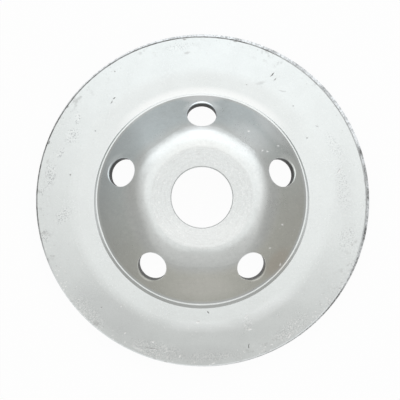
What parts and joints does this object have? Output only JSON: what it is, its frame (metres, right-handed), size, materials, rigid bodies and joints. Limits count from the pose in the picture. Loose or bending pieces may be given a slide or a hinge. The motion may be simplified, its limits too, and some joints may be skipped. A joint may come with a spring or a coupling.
{
  "type": "diamond grinding disc",
  "caption": "Shallow steel cup disc for an angle grinder, with a raised hub, a cone with round holes and a slotted ring of abrasive segments under its flange.",
  "frame": {"origin": "in the plane of the grinding faces, in the middle of the disc's outline; the bore's axis passes through it", "axes": "+Z along the bore's axis, from the grinding faces to the hub and the grinder; +Y through the middle of one hole"},
  "size_m": [0.1246, 0.1246, 0.0172],
  "materials": {
    "silver_paint": "silver paint, satin, lightly scuffed",
    "diamond_bond": "granular sintered bond, matt"
  },
  "bodies": {
    "root": {"steel_body": "silver_paint", "backing_ring": "diamond_bond", "segment_01": "diamond_bond", "segment_02": "diamond_bond", "segment_03": "diamond_bond", "segment_04": "diamond_bond", "segment_05": "diamond_bond", "segment_06": "diamond_bond", "segment_07": "diamond_bond", "segment_08": "diamond_bond", "segment_09": "diamond_bond", "segment_10": "diamond_bond", "segment_11": "diamond_bond", "segment_12": "diamond_bond", "segment_13": "diamond_bond", "segment_14": "diamond_bond", "segment_15": "diamond_bond", "segment_16": "diamond_bond", "segment_17": "diamond_bond", "segment_18": "diamond_bond", "segment_19": "diamond_bond", "segment_20": "diamond_bond", "segment_21": "diamond_bond", "segment_22": "diamond_bond", "segment_23": "diamond_bond", "segment_24": "diamond_bond", "segment_25": "diamond_bond", "segment_26": "diamond_bond", "segment_27": "diamond_bond", "segment_28": "diamond_bond", "segment_29": "diamond_bond", "segment_30": "diamond_bond"}
  },
  "joints": []
}
